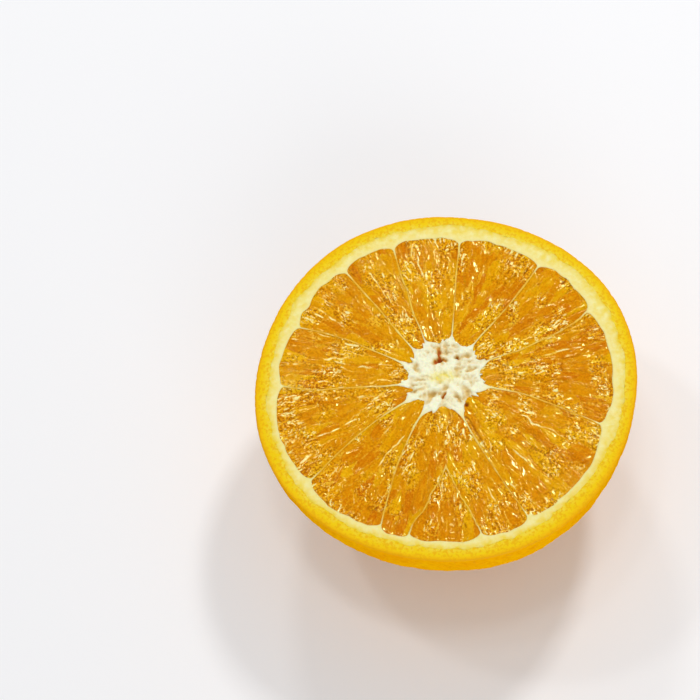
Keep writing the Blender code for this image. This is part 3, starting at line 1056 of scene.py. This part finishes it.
def fleshMaterial():
    look = fleshLook
    material, tree, shader, place = newMaterial("juiceSacs")
    outward, tone, rough, shade = masksOf(tree, "outward", "tone", "rough", "shade")
    pale, crease, torn = masksOf(tree, "pale", "crease", "torn")
    speck = mottle(place, *look["specks"])
    shaded = times(shade, mathNode("SUBTRACT", 1.3, speck))
    # the brightest strokes: pale fibres with painted glints
    paintedGlintStroke = excess(pale, 0.30, plus(speck, 0.6))
    layers = (
        # each sac has its own tone
        (excess(tone, 0.58, 2.0), "deepSac"),
        (excess(0.42, tone, 2.3), "paleSac"),
        (times(mottle(place, *look["patches"]), 0.42), "deepSac"),
        # painted shade as dark specks in the rough, glinting patches and along the fibres; light specks
        # there, partly the flesh's own yellow specks and partly painted highlight
        (times(excess(0.44, speck, 1.8), rough), "paintedShade"),
        (times(shaded, 0.8, clamp=True), "paintedShade"),
        (times(excess(speck, 0.58, 1.6), rough), "yellowSpeckAndHighlight"),
        # pale fibres, partly painted glint strokes, and the walls between sacs
        (times(pale, 0.9, clamp=True), "yellowSpeckAndHighlight"),
        (times(paintedGlintStroke, 2.4, clamp=True), "pale"),
        (times(crease, times(speck, 0.7)), "wall"),
        (torn, "torn"),
    )
    base = paint(mixColour(outward, look["nearCore"], look["nearRind"]), look, layers)
    smooth, coarse = look["roughness"]
    finishMaterial(shader, place, look, base, plus(times(speck, coarse - smooth), smooth))
    return material


pithLook = {
    "cream": (0.86, 0.68, 0.10),
    "white": (0.90, 0.81, 0.34),
    "besideFlesh": (0.89, 0.775, 0.32),
    "coreWhite": (0.91, 0.90, 0.65),
    "coreShade": (0.63, 0.39, 0.07),
    "yellow": (0.87, 0.62, 0.02),
    "membrane": (0.93, 0.56, 0.045),
    "membraneFaint": (0.80, 0.36, 0.002),
    "heart": (0.87, 0.72, 0.08),
    "tan": (0.70, 0.42, 0.06),
    "stain": (0.50, 0.085, 0.006),
    "patches": (1.5, 3.0),
    "heartPatches": (0.8, 2.5),
    "borderPatches": (1.2, 3.0),
    "membranePatches": (3.2, 3.4),  # membranes come and go along their length
    "grain": (0.35, 0.5, 0.08),
    "sockets": {
        "Specular IOR Level": 0.3,
        "Subsurface Weight": 0.25,
        "Subsurface Radius": (1.0, 0.7, 0.35),
        "Subsurface Scale": 0.8 * mm,
    },
}


def pithMaterial():
    look = pithLook
    material, tree, shader, place = newMaterial("pith")
    core, hollow, heart, stain = masksOf(tree, "core", "hollow", "heart", "stain")
    beside, border, thin = masksOf(tree, "beside", "border", "thin")
    patches = mottle(place, *look["patches"])
    heartPatches = mottle(place, *look["heartPatches"])
    borderPatches = mottle(place, *look["borderPatches"])
    layers = (
        (times(beside, 0.6), "besideFlesh"),
        (times(core, 1.6, clamp=True), "coreWhite"),
        (times(hollow, 0.8), "coreShade"),
        (times(heart, plus(heartPatches, 0.30), clamp=True), "heart"),
        (excess(1.0, border, plus(borderPatches, 0.25), clamp=True), "yellow"),
    )
    base = paint(mixColour(patches, look["cream"], look["white"]), look, layers)
    membrane = mixColour(mottle(place, *look["membranePatches"]), look["membraneFaint"], look["membrane"])
    base = mixColour(times(thin, plus(patches, 0.55), clamp=True), base, membrane)
    stains = ((times(stain, 1.5, clamp=True), "tan"), (excess(stain, 0.5, 2.2, clamp=True), "stain"))
    finishMaterial(shader, place, look, paint(base, look, stains), plus(times(patches, 0.2), 0.5))
    return material


skinLook = {
    "orange": (0.94, 0.48, 0.001),
    "deepOrange": (0.90, 0.37, 0.001),
    # painted shade in the gland pits
    "pit": (0.74, 0.24, 0.001),
    "bandOuter": (0.86, 0.41, 0.001),
    "bandMiddle": (0.865, 0.585, 0.002),
    "bandInner": (0.88, 0.68, 0.06),
    "bandGland": (0.80, 0.42, 0.001),
    "scar": (0.30, 0.14, 0.035),
    "patches": (7.0, 2.0),
    "bandPatches": (0.9, 3.4),
    "glands": (0.6, 5.0),
    "grain": (0.6, 0.55, 0.12),
    "roughness": (0.26, 0.48),  # outside and on the cut
    "gloss": (0.5, 0.95),  # seen straight on, and how fast it falls towards edge on
    "sockets": {
        "Specular Tint": (1.0, 0.85, 0.55, 1),
        "IOR": 1.38,
        "Subsurface Weight": 0.1,
        "Subsurface Radius": (1.0, 0.5, 0.1),
        "Subsurface Scale": 1.0 * mm,
    },
}


def skinMaterial():
    look = skinLook
    material, tree, shader, place = newMaterial("skin")
    pit, scar, band, cut = masksOf(tree, "pit", "scar", "band", "cut")
    outside = mixColour(mottle(place, *look["patches"]), look["orange"], look["deepOrange"])
    # painted shade: each gland pit is painted darker; the flower scar is its own brown
    outside = paint(outside, look, ((times(pit, 0.45), "pit"), (times(scar, 1.3, clamp=True), "scar")))
    # the cut band, from orange outside over yellow to cream
    inner = mixColour(times(band, 2.4, clamp=True), look["bandOuter"], look["bandMiddle"])
    toInner = times(excess(band, 0.48, 2.2, clamp=True), mottle(place, *look["bandPatches"]))
    glands = excess(mottle(place, *look["glands"]), 0.48, 1.4)
    inner = paint(inner, look, ((toInner, "bandInner"), (glands, "bandGland")))
    outsideRough, cutRough = look["roughness"]
    roughness = plus(times(cut, cutRough - outsideRough), outsideRough)
    finishMaterial(shader, place, look, mixColour(cut, outside, inner), roughness)
    # the wax shines less on the cut, and less where it is seen edge on
    edgeOn = tree.nodes.new("ShaderNodeLayerWeight").outputs["Facing"]
    straightOn, fall = look["gloss"]
    gloss = mathNode("SUBTRACT", straightOn, times(edgeOn, fall), clamp=True)
    feed(shader.inputs["Specular IOR Level"], times(gloss, mathNode("SUBTRACT", 1.0, times(cut, 0.6))))
    return material


# Build the pieces

fleshFinish = fleshMaterial()
for segment in range(segmentCount):
    piece = makeFlesh(segment, fleshFinish)
    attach(piece, "root")
    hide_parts(f"pulp_{segment + 1:02d}")
print("flesh made:", segmentCount, "segments")

pith = makePith(pithMaterial())
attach(pith, "root")
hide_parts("pith")
print("pith made:", len(pith.data.polygons), "faces")

skin = makeSkin(skinMaterial())
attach(skin, "root")
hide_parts("peel")
print("skin made:", len(skin.data.polygons), "faces")

# Floor, light and camera

stageLook = {
    "floorSize": 3.0,
    "floorColour": (0.90, 0.90, 0.91, 1),
    "floorRoughness": 0.6,
    "worldColour": (0.97, 0.98, 1.0, 1),
    "worldStrength": 0.47,
    "worldSeen": 0.90,
    "worldMirrored": 0.10,
}


def makeFloor():
    half = stageLook["floorSize"] / 2
    corners = [(-half, -half, 0), (half, -half, 0), (half, half, 0), (-half, half, 0)]
    material = bpy.data.materials.new("paleFloor")
    material.use_nodes = True
    shader = material.node_tree.nodes["Principled BSDF"]
    shader.inputs["Base Color"].default_value = stageLook["floorColour"]
    shader.inputs["Roughness"].default_value = stageLook["floorRoughness"]
    floor = makePiece("floor", corners, [(0, 1, 2, 3)], material)


lamps = (
    # name, degrees round, elevation, distance, size, power in watts
    ("keyRight", 55, 50, 1.0, 0.13, 2.9),
    ("keyLeft", 142, 54, 1.0, 0.092, 0.85),
    ("keyBack", 94, 39, 1.0, 0.116, 1.2),
    ("keyTop", 80, 88, 1.0, 0.13, 0.7),
    ("keyFar", 128, 78, 1.0, 0.09, 0.4),
    ("frontFill", 280, 20, 1.1, 0.80, 4.0),
)


def makeLamps():
    centre = Vector((0, 0, cutHeight))
    for name, degrees, elevation, distance, size, power in lamps:
        light = bpy.data.lights.new(name, "AREA")
        light.shape = "SQUARE"
        light.size = size
        light.energy = power
        lamp = bpy.data.objects.new(name, light)
        turn, rise = math.radians(degrees), math.radians(elevation)
        way = Vector((math.cos(turn) * math.cos(rise), math.sin(turn) * math.cos(rise), math.sin(rise)))
        lamp.location = centre + way * distance
        lamp.rotation_euler = way.to_track_quat("Z", "Y").to_euler()
        bpy.context.scene.collection.objects.link(lamp)


def makeWorld():
    world = bpy.data.worlds.new("studio")
    world.use_nodes = True
    tree = world.node_tree
    background = tree.nodes["Background"]
    background.inputs["Color"].default_value = stageLook["worldColour"]
    rays = tree.nodes.new("ShaderNodeLightPath")
    plain = stageLook["worldStrength"]
    seen = times(rays.outputs["Is Camera Ray"], stageLook["worldSeen"] - plain)
    mirrored = times(rays.outputs["Is Glossy Ray"], plain - stageLook["worldMirrored"])
    feed(background.inputs["Strength"], plus(mathNode("SUBTRACT", seen, mirrored), plain))
    bpy.context.scene.world = world


cameraPlace = {
    "distance": 0.430,
    "elevation": 64.12,
    "roll": -12.0,
    "aim": (-18.92 * mm, 10.06 * mm),  # on the cut face, so that the fruit sits right of the middle
    "lens": 106.1,
}


def makeCamera():
    camera = bpy.data.objects.new("camera", bpy.data.cameras.new("camera"))
    camera.data.lens = cameraPlace["lens"]
    camera.data.sensor_width = 36
    rise = math.radians(cameraPlace["elevation"])
    centre = Vector((0, 0, cutHeight))
    place = centre + Vector((0, -math.cos(rise), math.sin(rise))) * cameraPlace["distance"]
    aim = Vector((*cameraPlace["aim"], cutHeight))
    look = (place - aim).to_track_quat("Z", "Y").to_matrix().to_4x4()
    turn = Matrix.Rotation(math.radians(cameraPlace["roll"]), 4, "Z")
    camera.matrix_world = Matrix.Translation(place) @ look @ turn
    bpy.context.scene.collection.objects.link(camera)
    bpy.context.scene.camera = camera


makeFloor()
makeWorld()
makeLamps()
makeCamera()
bpy.context.scene.view_settings.view_transform = "Standard"
print("stage made")
